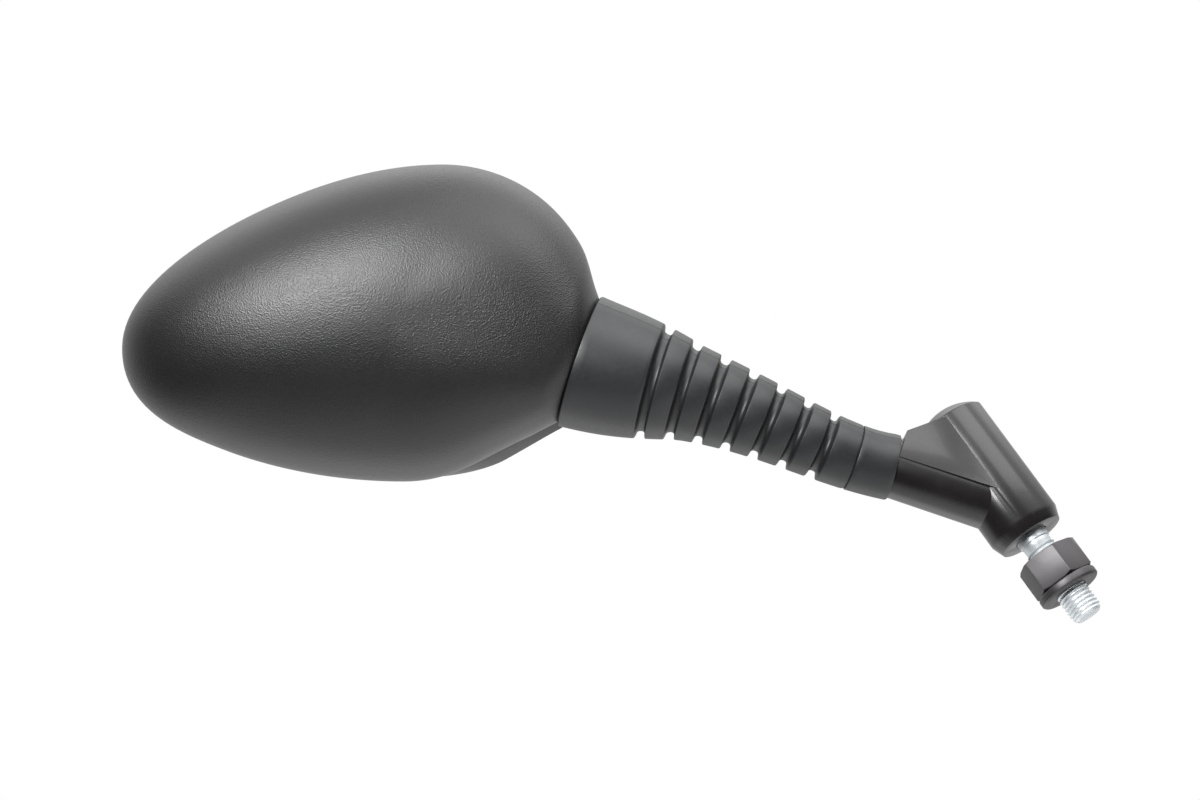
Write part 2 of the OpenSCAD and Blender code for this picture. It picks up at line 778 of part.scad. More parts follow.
module adhesive_pad() {
    color("gray") in_head() plate(backing(), glass_z + glass_t, pad_t);
}

module glass_backing() {
    color([0.2, 0.2, 0.2]) in_head() plate(backing(), glass_z + glass_t + pad_t, backing_t);
}

mount_stud();
thrust_washer();
pivot_springs();
pivot_nut();
nut_washer();
lock_nut();
arm_casting();
barrel_cap();
pivot_bushes();
arm_rod();
rod_pin();
rubber_boot();
ball_liner();
ball_cup();
head_shell();
mirror_glass();
adhesive_pad();
glass_backing();
socket_bracket();
clamp_plate();
clamp_screws();
clamp_springs();
bracket_screws();
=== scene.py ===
"""Right-hand motorcycle mirror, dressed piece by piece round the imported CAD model.

Each section models its pieces in millimetres, in a frame that suits them, and then places them
in the CAD model's frame, in metres.
"""
import json
from math import acos, asin, atan, atan2, cos, degrees, pi, radians, sin, sqrt

import bpy
from mathutils import Matrix, Vector


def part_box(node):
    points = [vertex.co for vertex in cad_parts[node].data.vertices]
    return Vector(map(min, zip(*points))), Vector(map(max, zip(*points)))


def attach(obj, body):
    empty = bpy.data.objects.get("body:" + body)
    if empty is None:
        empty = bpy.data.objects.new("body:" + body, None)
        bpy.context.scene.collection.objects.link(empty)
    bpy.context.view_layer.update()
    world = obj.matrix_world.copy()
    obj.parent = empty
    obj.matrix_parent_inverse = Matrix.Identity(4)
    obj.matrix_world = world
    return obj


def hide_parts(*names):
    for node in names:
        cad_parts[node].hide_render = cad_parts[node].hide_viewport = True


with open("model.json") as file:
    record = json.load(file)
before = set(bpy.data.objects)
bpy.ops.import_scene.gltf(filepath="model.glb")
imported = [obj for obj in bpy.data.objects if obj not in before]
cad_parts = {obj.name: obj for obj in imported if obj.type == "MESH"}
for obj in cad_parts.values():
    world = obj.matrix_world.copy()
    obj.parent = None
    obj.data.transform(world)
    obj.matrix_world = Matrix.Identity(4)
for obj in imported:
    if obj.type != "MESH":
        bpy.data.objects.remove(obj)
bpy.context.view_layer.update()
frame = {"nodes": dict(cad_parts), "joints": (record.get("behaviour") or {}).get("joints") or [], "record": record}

# Mounting stud
# A turned steel stud, bright zinc plated: threaded M10 below, a plain collar under the elbow and
# a shank that the elbow swivels on. The thread is rolled, so its crests are slightly rounded.


class Wire:
    """An output socket that can be written into sums, as a number can."""

    def __init__(self, socket):
        self.socket = socket

    def maths(self, operation, first, second):
        tree = self.socket.id_data
        made = tree.nodes.new("ShaderNodeMath")
        made.operation = operation
        for place, value in zip(made.inputs, (first, second)):
            if isinstance(value, Wire):
                tree.links.new(value.socket, place)
            else:
                place.default_value = value
        return Wire(made.outputs[0])

    def __add__(self, other):
        return self.maths("ADD", self, other)

    __radd__ = __add__

    def __sub__(self, other):
        return self.maths("SUBTRACT", self, other)

    def __rsub__(self, other):
        return self.maths("SUBTRACT", other, self)

    def __mul__(self, other):
        return self.maths("MULTIPLY", self, other)

    __rmul__ = __mul__


class Finish:
    """A material on one Principled shader; what is even over a surface is set on its sockets."""

    def __init__(self, name, **even):
        self.material = bpy.data.materials.new(name)
        self.material.use_nodes = True
        self.tree = self.material.node_tree
        self.shader = self.tree.nodes["Principled BSDF"]
        self.feed(self.shader, {key.replace("_", " "): value for key, value in even.items()})
        self.place = Wire(self.node("ShaderNodeTexCoord", output="Object").socket)

    def feed(self, made, inputs):
        for key, value in inputs.items():
            if isinstance(value, Wire):
                self.tree.links.new(value.socket, made.inputs[key])
            else:
                made.inputs[key].default_value = value

    def node(self, kind, settings=None, inputs=None, output=0):
        made = self.tree.nodes.new(kind)
        for key, value in (settings or {}).items():
            if key == "stops":
                ramp = made.color_ramp.elements
                while len(ramp) < len(value):
                    ramp.new(0.5)
                for stop, (position, colour) in zip(ramp, value):
                    stop.position, stop.color = position, (*colour, 1)
            else:
                setattr(made, key, value)
        self.feed(made, inputs or {})
        return Wire(made.outputs[output])

    def noise(self, scale, detail=2.0, stretch=None):
        place = self.place
        if stretch:
            place = self.node("ShaderNodeMapping", None, {"Vector": place, "Scale": stretch})
        inputs = {"Vector": place, "Scale": scale, "Detail": detail}
        return self.node("ShaderNodeTexNoise", None, inputs)

    def tint(self, amount, first, second):
        inputs = {0: amount, 6: (*first, 1), 7: (*second, 1)}
        return self.node("ShaderNodeMix", {"data_type": "RGBA"}, inputs, 2)

    def bump(self, height, depth, strength):
        inputs = {"Height": height, "Distance": depth, "Strength": strength}
        return self.node("ShaderNodeBump", None, inputs)

    def vary(self, **wires):
        self.feed(self.shader, {key.replace("_", " "): wire for key, wire in wires.items()})
        return self.material


def zinc_finish():
    plate = Finish("bright_zinc", Metallic=0.6, Specular_IOR_Level=0.5)
    clouds = plate.noise(160, 2)
    turning = plate.noise(300, 1, (1, 1, 12))
    return plate.vary(
        Base_Color=plate.tint(clouds, (0.5, 0.54, 0.56), (0.68, 0.71, 0.73)),
        Roughness=0.34 + 0.16 * clouds,
        Normal=plate.bump(turning, 0.000006, 0.4),
    )


def only(piece):
    """Selects one object and makes it the active one."""
    bpy.ops.object.select_all(action="DESELECT")
    piece.select_set(True)
    bpy.context.view_layer.objects.active = piece


def turned(name, profile, sides=96, hollow=False):
    """A turned piece: a circle extruded and scaled along its profile of (radius, height).

    A hollow piece's profile runs outside and back inside, and its two ends are joined.
    """
    bpy.ops.object.select_all(action="DESELECT")
    bpy.ops.mesh.primitive_circle_add(vertices=sides, radius=profile[0][0])
    piece = bpy.context.object
    piece.name = piece.data.name = name
    piece.data.transform(Matrix.Translation((0, 0, profile[0][1])))
    bpy.ops.object.mode_set(mode="EDIT")
    bpy.ops.mesh.select_all(action="SELECT")
    for (r0, z0), (r1, z1) in zip(profile, profile[1:]):
        bpy.ops.mesh.extrude_region_move(TRANSFORM_OT_translate={"value": (0, 0, z1 - z0)})
        size = r1 / r0
        bpy.ops.transform.resize(value=(size, size, 1), center_override=(0, 0, z1))
    bpy.ops.mesh.select_all(action="DESELECT")
    bpy.ops.mesh.select_non_manifold()
    if hollow:
        bpy.ops.mesh.bridge_edge_loops()
    else:
        bpy.ops.mesh.fill_holes(sides=0)
    bpy.ops.mesh.select_all(action="SELECT")
    bpy.ops.mesh.remove_doubles(threshold=0.0005)
    bpy.ops.mesh.normals_make_consistent(inside=False)
    bpy.ops.object.mode_set(mode="OBJECT")
    return piece


def modify(piece, kind, **settings):
    """Adds one modifier and applies it."""
    only(piece)
    modifier = piece.modifiers.new(kind.lower(), kind)
    for key, value in settings.items():
        setattr(modifier, key, value)
    bpy.ops.object.modifier_apply(modifier=modifier.name)


MM = Matrix.Scale(0.001, 4)


def fit(piece, material, body, node, place=MM, smooth=35):
    """Places a piece modelled in millimetres, gives it its finish and body, shades it smooth by angle and hides
    the CAD node that it replaces.
    """
    piece.data.transform(place)
    piece.data.materials.clear()
    piece.data.materials.append(material)
    only(piece)
    bpy.ops.object.shade_smooth_by_angle(angle=radians(smooth))
    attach(piece, body)
    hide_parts(node)


zinc = zinc_finish()
thread_r, thread_pitch, thread_depth = 4.9, 1.25, 0.5
core_r = thread_r - thread_depth
middle_r, undercut_r, collar_r, shank_r = 0.3, 4.45, 4.9, 5.0
collar_edge, shank_edge = 0.15, 1
thread_low, shank_top = (corner.z * 1000 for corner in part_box("mount_stud"))
barrel_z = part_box("arm_casting")[0].z * 1000
thread_top, collar_from, collar_to = barrel_z - 3.7, barrel_z - 2.1, barrel_z - 0.3
stud = turned("stud_core", [
    (middle_r, thread_low), (core_r - 0.6, thread_low), (core_r, thread_low + 0.7),
    (core_r, thread_top), (undercut_r, thread_top + 0.1), (undercut_r, collar_from - 0.1),
    (collar_r - collar_edge, collar_from), (collar_r, collar_from + collar_edge),
    (collar_r, collar_to - collar_edge), (collar_r - collar_edge, collar_to),
    (shank_r, collar_to + 0.02), (shank_r, shank_top - shank_edge),
    (shank_r - shank_edge, shank_top), (middle_r, shank_top),
])
fit(stud, zinc, "stud", "mount_stud")

# The thread's ridge is one flank section carried up a helix
turns = int((thread_top - thread_low) / thread_pitch) - 1
foot_r, shoulder_r, foot_half, crest_half = core_r - 0.12, thread_r - 0.05, 0.55, 0.1
flank = bpy.data.meshes.new("stud_thread")
flank.from_pydata(
    [(foot_r, 0, -foot_half), (shoulder_r, 0, -crest_half), (thread_r, 0, 0),
     (shoulder_r, 0, crest_half), (foot_r, 0, foot_half)],
    [(0, 1), (1, 2), (2, 3), (3, 4), (4, 0)], [],
)
thread = bpy.data.objects.new("stud_thread", flank)
bpy.context.scene.collection.objects.link(thread)
modify(thread, "SCREW", screw_offset=thread_pitch, iterations=turns, steps=64,
       render_steps=64, use_merge_vertices=False, use_normal_calculate=True)
bpy.ops.object.mode_set(mode="EDIT")
bpy.ops.mesh.select_all(action="DESELECT")
bpy.ops.mesh.select_non_manifold()
bpy.ops.mesh.fill_holes(sides=0)
bpy.ops.mesh.select_all(action="SELECT")
bpy.ops.mesh.normals_make_consistent(inside=False)
bpy.ops.object.mode_set(mode="OBJECT")
thread_start, lead_in = 0.6, 0.9
for point in thread.data.vertices:
    point.co.z += thread_low + thread_start
    cone_r = core_r - lead_in + (point.co.z - thread_low) * lead_in
    radius = point.co.xy.length
    if radius > cone_r:
        point.co.xy *= cone_r / radius
fit(thread, zinc, "stud", "mount_stud")

# Lock nut and its washer
# A 17 mm hexagon nut with turned chamfers and a separate round washer under it, both steel with
# a satin black coating that is a little worn on its edges.


nodes = frame["nodes"]


def from_node(name, node, bevel, angle=32, segments=2):
    """A copy of a CAD node in millimetres, its edges broken by a small bevel."""
    piece = bpy.data.objects.new(name, nodes[node].data.copy())
    bpy.context.scene.collection.objects.link(piece)
    piece.data.transform(Matrix.Scale(1000, 4))
    only(piece)
    bpy.ops.mesh.customdata_custom_splitnormals_clear()
    bpy.ops.object.mode_set(mode="EDIT")
    bpy.ops.mesh.select_all(action="SELECT")
    bpy.ops.mesh.remove_doubles(threshold=0.002)
    bpy.ops.mesh.dissolve_limited(angle_limit=radians(0.5))
    bpy.ops.object.mode_set(mode="OBJECT")
    modify(piece, "BEVEL", width=bevel, segments=segments, limit_method="ANGLE",
           angle_limit=radians(angle), use_clamp_overlap=True, miter_outer="MITER_ARC")
    return piece


def black_steel_finish():
    coat = Finish("satin_black_coating", Metallic=0.75, Specular_IOR_Level=0.5)
    clouds = coat.noise(300, 4)
    edges = coat.node("ShaderNodeNewGeometry", output="Pointiness")
    worn = coat.node("ShaderNodeValToRGB",
                     {"stops": [(0.52, (0, 0, 0)), (0.6, (1, 1, 1))]}, {"Fac": edges})
    return coat.vary(
        Base_Color=coat.tint(worn * clouds, (0.065, 0.062, 0.065), (0.185, 0.175, 0.175)),
        Roughness=0.4 + 0.1 * clouds,
        Normal=coat.bump(coat.noise(1500, 2), 0.00001, 0.4),
    )


black_steel = black_steel_finish()
washer = from_node("washer_turned", "nut_washer", 0.12)
fit(washer, black_steel, "washer", "nut_washer")
nut = from_node("nut_hexagon", "lock_nut", 0.16, 20)
fit(nut, black_steel, "nut", "lock_nut")

# Elbow and its cap
# A die-cast elbow in gloss black paint: an upright barrel that swivels on the stud, a flat web,
# and a neck that carries the boot. A domed cap presses into the top of the barrel.


def black_paint_finish():
    paint = Finish("gloss_black_paint", Coat_IOR=1.5, Coat_Roughness=0.08,
                   Specular_IOR_Level=0.5)
    peel = paint.noise(420, 2)
    clouds = paint.noise(90, 3)
    return paint.vary(
        Base_Color=paint.tint(clouds, (0.006, 0.005, 0.005), (0.010, 0.009, 0.009)),
        Roughness=0.22 + 0.1 * clouds,
        Coat_Weight=0.08 + 0.16 * clouds,
        Normal=paint.bump(peel, 0.00004, 0.35),
    )


black_paint = black_paint_finish()
elbow = from_node("elbow_casting", "arm_casting", 0.5, 24, 3)
fit(elbow, black_paint, "arm", "arm_casting", smooth=40)
cap = from_node("cap_domed", "barrel_cap", 0.3, 30)
fit(cap, black_paint, "arm", "barrel_cap", smooth=40)

# Rubber boot
# A moulded rubber sleeve over the arm rod: flared at the head, thin at the neck, with seven round
# grooves that let it flex and a fine parting line along its top and underside.


joints = {joint["name"]: joint for joint in frame["joints"]}
bow_bearing = radians(58.5)


def arm_frame():
    """Matrix of the arm's own frame: Z from the elbow to the head, X the way that the boot bows."""
    axis = Vector(joints["head_roll"]["axis"])
    centre = Vector(joints["head_roll"]["pos_m"])
    start = centre - axis * (centre.x / axis.x)
    lean = acos(axis.z)
    bearing = atan2(axis.y, axis.x)
    turn = (Matrix.Rotation(bearing, 4, "Z") @ Matrix.Rotation(lean, 4, "Y")
            @ Matrix.Rotation(bow_bearing, 4, "Z"))
    return Matrix.Translation(start) @ turn


arm_place = arm_frame()
ball_centre = Vector(joints["head_roll"]["pos_m"])
ball_depth = 26.4
neck_len, boot_len = 36.5, 98.9
boot_end = neck_len + boot_len
boot_head_r, boot_neck_r, boot_wall = 20.6, 9.9, 2.8
groove_first, groove_pitch, groove_w, groove_depth, groove_count = 23.2, 8.93, 3.0, 2.35, 7
band_at = groove_first + (groove_count - 1) * groove_pitch + groove_w / 2 + 8.1
boot_edge_r = sqrt(boot_head_r ** 2 + ball_depth ** 2)
flare_power, belly, belly_len = 1.85, 1.25, 35
bow, sway, sway_turn = 1.8, 55.2, 0.69


def boot_r(s):
    """The boot's outer radius at a station, counted from its mouth."""
    taper = (boot_head_r - boot_neck_r) * max(0, 1 - s / (boot_len - 3)) ** flare_power
    return boot_neck_r + taper + belly * sin(pi * min(max(s / belly_len, 0), 1))


def boot_bend(s):
    """How far the boot's middle lies off the arm's axis at a station, in X and Y."""
    t = min(max(s / boot_len, 0), 1)
    return bow * sin(pi * t), sway * t * t * (sway_turn - t) * (1 - t)


def boot_outside():
    """Profile of the boot's outside as (radius, station), from its mouth to the neck."""
    grooves = [groove_first + i * groove_pitch for i in range(groove_count)]
    section = [(-2.0, 0), (-1.72, 0.08), (-1.52, 0.4), (-1.42, 1.0), (-1.3, 1.7), (-0.95, 2.15),
               (-0.35, 2.33), (0.35, 2.33), (0.9, 2.1), (1.25, 1.6), (1.42, 0.95),
               (1.55, 0.38), (1.75, 0.08), (2.05, 0)]
    profile = [(boot_r(0) - 0.45, -0.35), (boot_r(0) - 0.1, 0.15), (boot_r(0.8), 0.8)]
    profile += [(boot_r(s), s) for s in (3, 6, 9, 12, 15, 18, 20)]
    for at in grooves:
        profile += [(boot_r(at + ds) - depth, at + ds) for ds, depth in section]
        profile.append((boot_r(at + groove_pitch / 2), at + groove_pitch / 2))
    profile += [(boot_r(band_at - 1), band_at - 1), (boot_r(band_at) - 0.08, band_at - 0.15),
                (boot_r(band_at) - 0.55, band_at), (boot_r(band_at) - 0.6, band_at + 0.25),
                (boot_r(band_at) - 0.1, band_at + 0.45), (boot_r(band_at), band_at + 0.7)]
    step = (boot_len - band_at) / 12
    profile += [(boot_r(band_at + step * i), band_at + step * i) for i in range(2, 12)]
    profile += [(boot_neck_r - 0.12, boot_len - 0.1), (boot_neck_r - 0.5, boot_len)]
    return profile


def boot_inside():
    """Profile of the boot's bore, from the neck back to its mouth."""
    spigot_r, rod_r = 8.35, 5.1
    bore = [(spigot_r, boot_len), (spigot_r, boot_len - 11), (6.05, boot_len - 17),
            (rod_r, boot_len - 17.2)]
    for s in (70, 60, 50, 41, 32, 23.2, 15):
        bore.append((boot_r(s) - boot_wall - groove_depth, s))
    bore += [(boot_r(10) - boot_wall, 10), (boot_r(3) - boot_wall, 3),
             (boot_r(0) - boot_wall, -1.5)]
    return bore


def rubber_finish():
    rubber = Finish("matt_rubber", Specular_IOR_Level=0.5)
    clouds = rubber.noise(70, 4)
    bloom = rubber.noise(900, 3)
    return rubber.vary(
        Base_Color=rubber.tint(clouds, (0.008, 0.009, 0.010), (0.013, 0.014, 0.015)),
        Roughness=0.36 + 0.16 * bloom,
        Normal=rubber.bump(bloom, 0.00003, 0.5),
    )


boot_sides, flash_rise = 240, 0.16
boot = turned("boot_ribbed", [(r, -s) for r, s in boot_outside() + boot_inside()],
              boot_sides, hollow=True)
flash_bearings = [radians(62), radians(242)]
for point in boot.data.vertices:
    s, radius = -point.co.z, point.co.xy.length
    bearing = atan2(point.co.y, point.co.x) % (2 * pi)
    if radius > boot_r(s) - groove_depth - 0.2 and s > 0.5:
        near = min(abs(bearing - at) for at in flash_bearings)
        if near < pi / boot_sides:
            point.co.xy *= 1 + flash_rise / radius
    x, y = boot_bend(s)
    ahead, behind = boot_bend(s + 0.5), boot_bend(s - 0.5)
    slope_x, slope_y = ahead[0] - behind[0], ahead[1] - behind[1]
    lift = slope_x * point.co.x + slope_y * point.co.y
    point.co = (point.co.x + x, point.co.y + y, boot_end - s + lift)
fit(boot, rubber_finish(), "arm", "rubber_boot", arm_place @ MM, 38)

# Mirror head
# A deep shell moulded in black plastic with a fine grain, closed round the glass by a flange, its
# mouth cut back round the boot. A boss for each bracket screw stands inside.


lean, roll = radians(22), radians(33.6)


def head_frame():
    """Matrix of the head's own frame: X and Y in the rim's plane, Z towards the crown."""
    turn = Matrix.Rotation(radians(90) + lean, 4, "X") @ Matrix.Rotation(-roll, 4, "Z")
    return Matrix.Translation(ball_centre) @ turn


head_place = head_frame()
stem = (head_place.to_3x3().inverted() @ -Vector(joints["head_roll"]["axis"])).normalized()
body_corners = [
    (-115.3, -4, 89, 19, 17.5), (-72, 38.2, 25, 22, 19), (-17, 52, 0, 19, 14),
    (19.5, 35.2, -50, 14, 9), (32, 14, -62, 9, 10), (40, -12, -100, 10, 12),
    (17.2, -28.6, -165, 12, 6), (-0.1, -36, -153, 7, 9), (-29.3, -45.2, 180, 13, 19),
    (-84.2, -35.5, 159, 18, 15),
]
rim_corners = [
    (-114.3, -4, 89, 19, 17.5), (-71.6, 37.2, 25, 22, 19), (-17, 51, 0, 19, 14),
    (17, 34.9, -55, 14, 8), (27, 12, -74, 8, 7), (30.5, -9, -96, 7, 8),
    (18.2, -29.4, -152, 7, 5), (1.4, -38.9, -151, 7, 6), (-29.3, -44.8, 180, 15, 19),
    (-84, -35, 159, 18, 15),
]
crown = Vector((-30, 4))
crown_h, head_wall, base_z, rim_z, flange_t = 25, 2.5, -12, -30, 5.5
boot_gap = 1.2
cap_r = boot_edge_r - boot_gap
cap_span = 40
outline_steps = 24


def outline(corners):
    """Closed curve through corners of (x, y, heading, handle before, handle after)."""
    points = []
    for p, q in zip(corners, corners[1:] + corners[:1]):
        a, d = Vector(p[:2]), Vector(q[:2])
        b = a + p[4] * Vector((cos(radians(p[2])), sin(radians(p[2]))))
        c = d - q[3] * Vector((cos(radians(q[2])), sin(radians(q[2]))))
        for k in range(outline_steps):
            t = k / outline_steps
            points.append((1 - t) ** 3 * a + 3 * (1 - t) ** 2 * t * b
                          + 3 * (1 - t) * t * t * c + t ** 3 * d)
    return points


def inset(points, width):
    """The outline moved inwards by a width."""
    moved = []
    for before, at, after in zip(points[-1:] + points, points, points[1:] + points[:1]):
        along = (after - before).normalized()
        moved.append(at + width * Vector((along.y, -along.x)))
    return moved


def level(points, z):
    return [Vector((p.x, p.y, z)) for p in points]


def limited(points, wall):
    """Draws points in to the sphere that clears the boot, with a soft turn where it begins."""
    blend, opening = 2, 0.0095
    kept = []
    for p in points:
        away = degrees(p.angle(stem))
        limit = cap_r + opening * max(0, away - cap_span) ** 2 - wall
        share = max(0, 1 - abs(limit - p.length) / blend)
        kept.append(p * (min(limit, p.length) - share ** 2 * blend / 4) / p.length)
    return kept


def dome_ring(points, angle, wall):
    """One ring of the dome, at an angle up from its base; it is fuller towards the stem."""
    plain, fuller = 2.2, 2.0
    to_stem = (stem.xy * ball_depth - crown).normalized()
    ring = []
    for p in points:
        share = max(0, (p - crown).normalized().dot(to_stem))
        power = plain + fuller * share ** 3
        flat = crown + cos(radians(angle)) ** (2 / power) * (p - crown)
        height = base_z + sin(radians(angle)) ** (2 / power) * (crown_h - wall - base_z)
        ring.append(Vector((*flat, height)))
    return limited(ring, wall)


def lofted(name, rings, top, under):
    """A skin over rings of equal count, closed at both ends by a point."""
    count = len(rings[0])
    points = [p for ring in rings for p in ring] + [top, under]
    last = len(rings) - 1
    faces = []
    for i in range(count):
        j = (i + 1) % count
        faces.append((len(points) - 2, j, i))
        faces.append((len(points) - 1, last * count + i, last * count + j))
        faces += [(k * count + i, k * count + j, (k + 1) * count + j, (k + 1) * count + i)
                  for k in range(last)]
    mesh = bpy.data.meshes.new(name)
    mesh.from_pydata(points, [], faces)
    piece = bpy.data.objects.new(name, mesh)
    bpy.context.scene.collection.objects.link(piece)
    only(piece)
    bpy.ops.object.mode_set(mode="EDIT")
    bpy.ops.mesh.select_all(action="SELECT")
    bpy.ops.mesh.normals_make_consistent(inside=False)
    bpy.ops.object.mode_set(mode="OBJECT")
    return piece


def head_skin():
    """The shell in one skin: dome, wall, lip, rim and glass pocket, and back up its inside."""
    outer_rings, inner_rings, lip_rings, trim = 40, 16, 8, 0.13
    body, rim = (inset(outline(corners), trim) for corners in (body_corners, rim_corners))
    inner = inset(body, head_wall)
    pocket, ledge, rim_w, lip_rise = 4.65, 5.8, 2.9, 2.5
    lip_top = rim_z + flange_t + 1 + lip_rise
    lip_drop, lip_power = lip_top - rim_z - 1.2, 1.3
    rings = [dome_ring(body, 90 * i / outer_rings, 0) for i in range(outer_rings - 1, -1, -1)]
    wall_foot = limited(level(inset(body, 0.5), lip_top), 0)
    rings += [limited(level(inset(body, 0.15), (base_z + lip_top) / 2), 0),
              limited(level(inset(body, 0.25), lip_top + 0.4), 0), wall_foot]
    for share in (i / lip_rings for i in range(1, lip_rings + 1)):
        z = lip_top - lip_drop * share ** lip_power
        ring = [a.lerp(b, share) for a, b in zip(wall_foot, level(inset(rim, 0.05), z))]
        rings.append(level(ring, z))
    rings += [level(inset(rim, 0.12), rim_z + 0.6),
              level(inset(rim, 0.4), rim_z + 0.2), level(inset(rim, 0.9), rim_z),
              level(inset(rim, rim_w - 0.3), rim_z), level(inset(rim, rim_w), rim_z + 0.3),
              level(inset(rim, rim_w), rim_z + pocket),
              level(inset(rim, rim_w + ledge), rim_z + pocket),
              limited(level(inset(rim, rim_w + ledge), rim_z + pocket + 2), head_wall)]
    rings += [dome_ring(inner, 90 * i / inner_rings, head_wall) for i in range(inner_rings)]
    return lofted("head_shell_moulded", rings, Vector((*crown, crown_h)),
                  Vector((*crown, crown_h - head_wall)))


def boot_sweep():
    """The space that the boot's flared end sweeps, as a turned cutter along the stem."""
    swing = 7
    edge_swing, side_swing = 1.45 * swing, 1.3 * swing
    middle_r, start_r, opening, steps = 0.4, cap_r + 0.25, 0.0078, 24
    span = degrees(asin(boot_head_r / boot_edge_r)) + edge_swing
    profile = [(middle_r, start_r)]
    for i in range(1, steps + 1):
        a = span * i / steps
        r = start_r + opening * max(0, a - cap_span) ** 2
        profile.append((r * sin(radians(a)), r * cos(radians(a))))
    for s in (4, 12, 20, 28):
        a = atan(boot_r(s) / (ball_depth + s)) + radians(side_swing)
        r = sqrt(boot_r(s) ** 2 + (ball_depth + s) ** 2)
        profile.append((r * sin(a), r * cos(a)))
    profile.append((middle_r, profile[-1][1] + 0.5))
    return turned("sweep_cutter", profile, 160)


def stem_turn():
    """Matrix that turns a cutter's axis from Z to the stem."""
    return Vector((0, 0, 1)).rotation_difference(stem).to_matrix().to_4x4()


def cut_away(piece, cutter):
    modify(piece, "BOOLEAN", operation="DIFFERENCE", object=cutter, solver="EXACT")
    bpy.data.objects.remove(cutter)


def screw_boss(shell, bearing):
    """A tube for one bracket screw, whose far end follows the shell's inner skin."""
    reach, foot, far, outer, inner = 24, 7, 20, 4.2, 2.05
    boss = turned("screw_boss", [(outer, far), (outer, foot), (inner, foot), (inner, far)], 48,
                  hollow=True)
    boss.data.transform(Matrix.Translation(
        (reach * cos(bearing), reach * sin(bearing), 0)))
    for point in boss.data.vertices:
        if point.co.z > far - 1:
            hit, place, *_ = shell.ray_cast((point.co.x, point.co.y, foot), (0, 0, 1))
            if hit:
                point.co.z = place.z + 1
    return boss


def grained_finish():
    plastic = Finish("grained_plastic", Specular_IOR_Level=0.5)
    clouds = plastic.noise(40, 3)
    cells = plastic.node("ShaderNodeTexVoronoi", {"feature": "F1"},
                         {"Vector": plastic.place, "Scale": 2300.0})
    pits = plastic.noise(2600, 2)
    return plastic.vary(
        Base_Color=plastic.tint(clouds, (0.006, 0.006, 0.006), (0.009, 0.009, 0.009)),
        Roughness=0.31 + 0.1 * pits,
        Normal=plastic.bump(0.6 * cells + 0.4 * pits, 0.00013, 0.9),
    )


grained = grained_finish()
head = head_skin()
cutter = boot_sweep()
cutter.data.transform(stem_turn())
cut_away(head, cutter)
mouth_r = 12.3
hole = turned("mouth_cutter", [(mouth_r, 0), (mouth_r, boot_edge_r + 5)], 96)
hole.data.transform(stem_turn())
cut_away(head, hole)
bosses = [screw_boss(head, atan2(stem.y, stem.x) + radians(turn)) for turn in (105, 180, 255)]
only(head)
for boss in bosses:
    boss.select_set(True)
bpy.ops.object.join()
fit(head, grained, "head", "head_shell", head_place @ MM, 32)

# Mirror glass
# A convex lens-shaped glass with even thickness, silvered behind, seated in the pocket of the rim
# with a thin line of air round it.


def glass_finish():
    silver = Finish("silvered_glass", Metallic=1.0, Coat_Weight=1.0, Coat_IOR=1.5,
                    Coat_Roughness=0.0)
    film = silver.noise(30, 2)
    return silver.vary(
        Base_Color=silver.tint(film, (0.80, 0.82, 0.83), (0.84, 0.855, 0.865)),
        Roughness=0.01 + 0.02 * film,
    )


def glass_sheet():
    glass_r, glass_t, middle = 1200, 2.0, Vector((-42, 1))
    ring_count, edge_width, edge_break = 20, 3.3, 0.15
    edge = inset(outline(rim_corners), edge_width)

    def surface(points, z):
        return [Vector((p.x, p.y, z + glass_r - sqrt(glass_r ** 2 - (p - middle).length_squared)))
                for p in points]

    front_z = rim_z + 0.2
    rings = []
    for share in (i / ring_count for i in range(1, ring_count + 1)):
        ring = [middle + share * (p - middle) for p in edge]
        rings.append(surface(inset(ring, edge_break) if share == 1 else ring, front_z))
    rings.append(surface(edge, front_z + edge_break))
    rings.append(surface(edge, front_z + glass_t))
    rings.append(surface([middle + 0.5 * (p - middle) for p in edge], front_z + glass_t))
    return lofted("glass_convex", rings, Vector((*middle, front_z)),
                  Vector((*middle, front_z + glass_t)))


fit(glass_sheet(), glass_finish(), "head", "mirror_glass", head_place @ MM)

# Parts inside
# The ball joint, its clamp and screws, the rod, the pivot's bushes and springs and what holds the
# glass keep their CAD shapes, each with the finish of its own stock.


def inside_finish(name, dark, light, rough, metallic, scale, depth):
    stock = Finish(name, Metallic=metallic)
    clouds = stock.noise(scale, 3)
    return stock.vary(
        Base_Color=stock.tint(clouds, dark, light),
        Roughness=rough + 0.12 * clouds,
        Normal=stock.bump(stock.noise(scale * 6, 2), depth, 0.5),
    )


stocks = {
    "spring_steel": inside_finish("oiled_spring_steel", (0.14, 0.13, 0.13),
                                  (0.24, 0.23, 0.24), 0.3, 1.0, 300, 0.00001),
    "nylon": inside_finish("natural_nylon", (0.70, 0.67, 0.58), (0.78, 0.75, 0.67), 0.42, 0.0,
                           120, 0.00001),
    "black_plastic": inside_finish("plain_black_plastic", (0.018, 0.018, 0.018),
                                   (0.026, 0.026, 0.027), 0.4, 0.0, 90, 0.00001),
    "foam_rubber": inside_finish("foam_tape", (0.16, 0.16, 0.16), (0.24, 0.24, 0.24), 0.85, 0.0,
                                 700, 0.00008),
    "bare_casting": inside_finish("bare_casting", (0.34, 0.35, 0.37), (0.46, 0.47, 0.49), 0.42,
                                  1.0, 350, 0.00004),
    "zinc_steel": zinc,
}
replaced = {"mount_stud", "nut_washer", "lock_nut", "arm_casting", "barrel_cap", "rubber_boot",
            "head_shell", "mirror_glass"}
for part in frame["record"]["subparts"]:
    if part["node"] not in replaced:
        mesh = nodes[part["node"]].data
        mesh.materials.clear()
        mesh.materials.append(stocks[part["material_slot"]])

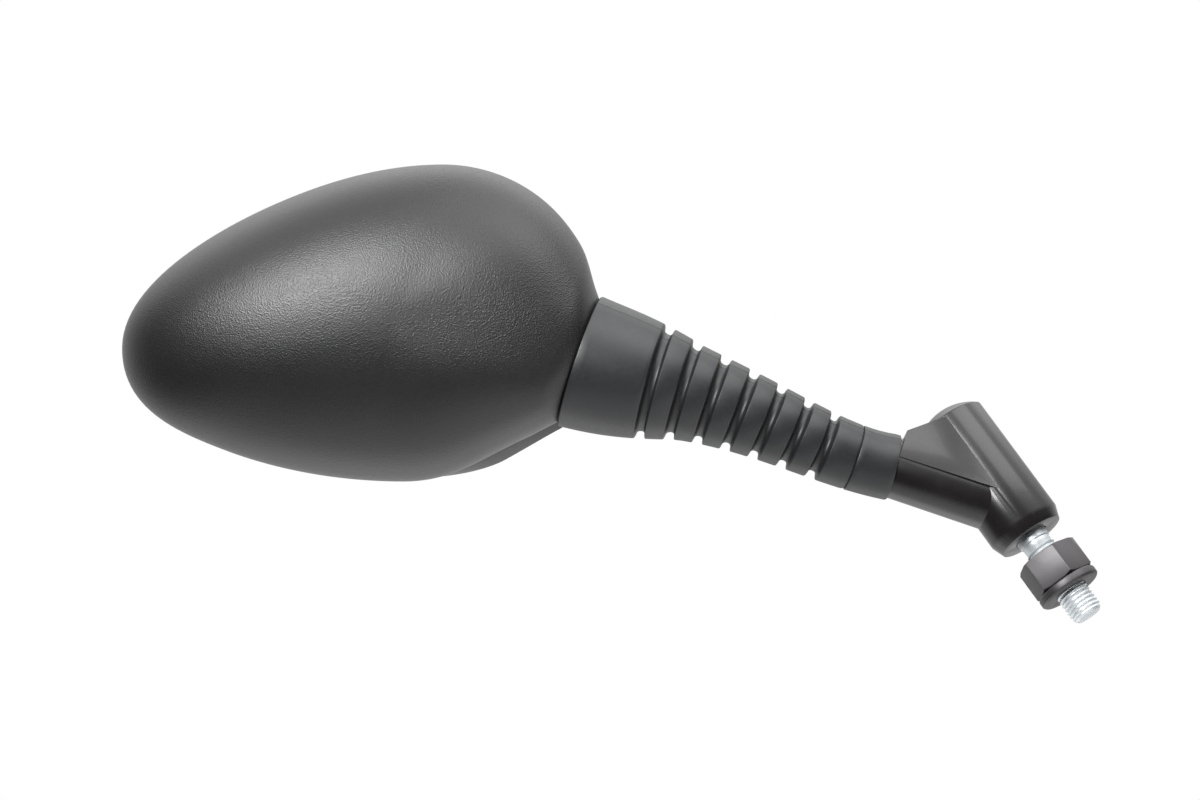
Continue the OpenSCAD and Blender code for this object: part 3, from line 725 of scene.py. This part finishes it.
# Studio
# White surroundings and a few soft lamps, as for a catalogue picture, and the camera at the
# photograph's place, a little below the mirror and behind it.

camera = bpy.data.objects.new("camera", bpy.data.cameras.new("camera"))
bpy.context.scene.collection.objects.link(camera)
bpy.context.scene.camera = camera
camera.data.sensor_width, camera.data.lens = 36, 70
right = Vector((cos(roll), sin(roll) * sin(lean), -sin(roll) * cos(lean)))
up = Vector((sin(roll), -cos(roll) * sin(lean), cos(roll) * cos(lean)))
back = Vector((0, -cos(lean), -sin(lean)))
eye = ball_centre + (30.8 * right - 20.1 * up + 703.2 * back) / 1000
camera.matrix_world = Matrix.Translation(eye) @ Matrix(
    (right, up, back)).transposed().to_4x4()
camera.data.clip_start, camera.data.clip_end = 0.01, 50


def surroundings():
    """A white room: a bright ceiling, a pale table and backdrop, and a dim side with the camera."""
    world = bpy.data.worlds.new("white_surroundings")
    bpy.context.scene.world = world
    world.use_nodes = True
    tree = world.node_tree
    way = tree.nodes.new("ShaderNodeTexCoord").outputs["Generated"]

    def side(axis, start, end):
        """How far a direction leans towards an axis, from 0 at start to 1 at end."""
        along = tree.nodes.new("ShaderNodeVectorMath")
        along.operation = "DOT_PRODUCT"
        tree.links.new(way, along.inputs[0])
        along.inputs[1].default_value = axis
        eased = tree.nodes.new("ShaderNodeMapRange")
        eased.interpolation_type = "SMOOTHSTEP"
        tree.links.new(along.outputs["Value"], eased.inputs["Value"])
        eased.inputs["From Min"].default_value, eased.inputs["From Max"].default_value = start, end
        return Wire(eased.outputs["Result"])

    light = (0.035 + 0.8 * side(-back, 0.0, 0.45) + 1.5 * side(up, 0.3, 0.75)
             + 1.2 * side(-up, 0.55, 0.95))
    seen = Wire(tree.nodes.new("ShaderNodeLightPath").outputs["Is Camera Ray"])
    strength = seen + (1 - seen) * light
    plain = tree.nodes["Background"]
    plain.inputs["Color"].default_value = (1, 1, 1, 1)
    tree.links.new(strength.socket, plain.inputs["Strength"])


surroundings()


def soft_box(name, direction, size, power, distance=0.9):
    """A square soft lamp that faces the mirror from a direction given in the camera's axes."""
    target = Vector((-0.06, -0.03, 0.14))
    towards = (direction[0] * right + direction[1] * up + direction[2] * back).normalized()
    lamp = bpy.data.objects.new(name, bpy.data.lights.new(name, "AREA"))
    bpy.context.scene.collection.objects.link(lamp)
    lamp.data.shape, lamp.data.size, lamp.data.energy = "SQUARE", size, power
    lamp.matrix_world = Matrix.Translation(target + distance * towards) @ (
        towards.to_track_quat("Z", "Y").to_matrix().to_4x4())


soft_box("soft_box_front", (-0.44, 0.4, 0.82), 0.4, 13)
soft_box("soft_box_top", (0.36, 0.86, 0.4), 0.75, 5.2)

bpy.context.scene.view_settings.view_transform = "Standard"
bpy.ops.object.select_all(action="DESELECT")
bpy.ops.mesh.primitive_plane_add(size=2.4, location=(0, 0, -1.6))
floor = bpy.context.object
floor.name = "floor"
floor_finish = Finish("pale_floor", Roughness=0.9)
floor.data.materials.append(floor_finish.vary(
    Base_Color=floor_finish.tint(floor_finish.noise(4), (0.9, 0.9, 0.9), (0.93, 0.93, 0.93))))

bpy.context.view_layer.update()
